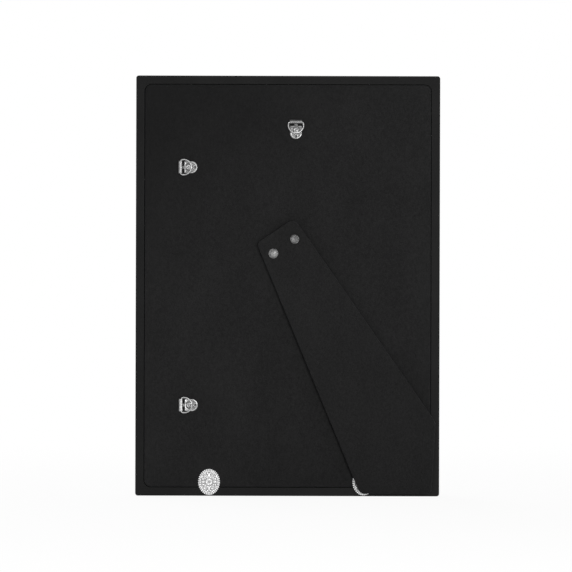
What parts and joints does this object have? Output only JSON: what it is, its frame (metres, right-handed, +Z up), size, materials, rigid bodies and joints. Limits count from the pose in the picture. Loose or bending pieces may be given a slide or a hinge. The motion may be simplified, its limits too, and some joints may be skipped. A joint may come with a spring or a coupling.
{
  "type": "easel back photo frame",
  "caption": "Upright picture frame with a velvet covered lift-out back, a slanting easel leg on a hidden hinge, folding hanging rings and two oval medallions.",
  "frame": {"origin": "middle of the flat bottom edge of the moulding, half way through its depth", "axes": "+Z up along the long side of the frame, +Y out of the velvet back, -Y out of the picture, +X to the right seen from the picture side"},
  "size_m": [0.225, 0.0207, 0.311],
  "materials": {
    "moulding": "satin black, fine grain",
    "glass": "clear, polished",
    "print": "blank matt sheet",
    "card": "plain grey board",
    "lining": "black lining paper",
    "board": "hard fibreboard",
    "velvet": "black flocked velvet",
    "hinge_steel": "zinc plated",
    "rivet_steel": "nickel plated",
    "hanger_steel": "nickel plated, bright",
    "ring_wire": "nickel plated wire",
    "silver": "silver coloured, pressed and lightly blackened"
  },
  "bodies": {
    "frame": {"frame_moulding": "moulding", "glass_pane": "glass", "picture_insert": "print", "filler_card": "card"},
    "back_panel": {"back_lining": "lining", "back_board": "board", "back_velvet": "velvet", "hinge_panel_leaf": "hinge_steel", "hinge_pin": "hinge_steel", "hinge_panel_rivets": "rivet_steel", "left_medallion": "silver", "right_medallion": "silver", "top_hanger_strap": "hanger_steel", "top_hanger_rivet": "rivet_steel", "upper_side_hanger_strap": "hanger_steel", "upper_side_hanger_rivet": "rivet_steel", "lower_side_hanger_strap": "hanger_steel", "lower_side_hanger_rivet": "rivet_steel"},
    "leg": {"leg_lining": "lining", "leg_board": "board", "leg_velvet": "velvet", "hinge_leg_leaf": "hinge_steel", "leg_rivet_outer": "rivet_steel", "leg_rivet_inner": "rivet_steel"},
    "top_hanger_ring": {"top_hanger_ring": "ring_wire"},
    "upper_side_hanger_ring": {"upper_side_hanger_ring": "ring_wire"},
    "lower_side_hanger_ring": {"lower_side_hanger_ring": "ring_wire"}
  },
  "joints": [
    {"name": "back_removal", "type": "slide", "parent": "frame", "child": "back_panel", "axis": [0, 1, 0], "range_m": [0, 0.03]},
    {"name": "leg_hinge", "type": "hinge", "parent": "back_panel", "child": "leg", "pos_m": [0.00758, 0.00834, 0.1918], "axis": [0.829, 0, -0.5592], "range_deg": [0, 30]},
    {"name": "top_ring_hinge", "type": "hinge", "parent": "back_panel", "child": "top_hanger_ring", "pos_m": [-0.0058, 0.00826, 0.2764], "axis": [1, 0, 0], "range_deg": [0, 175]},
    {"name": "upper_side_ring_hinge", "type": "hinge", "parent": "back_panel", "child": "upper_side_hanger_ring", "pos_m": [0.0792, 0.00826, 0.2431], "axis": [0, 0, -1], "range_deg": [0, 175]},
    {"name": "lower_side_ring_hinge", "type": "hinge", "parent": "back_panel", "child": "lower_side_hanger_ring", "pos_m": [0.0784, 0.00826, 0.0671], "axis": [0, 0, -1], "range_deg": [0, 175]}
  ]
}
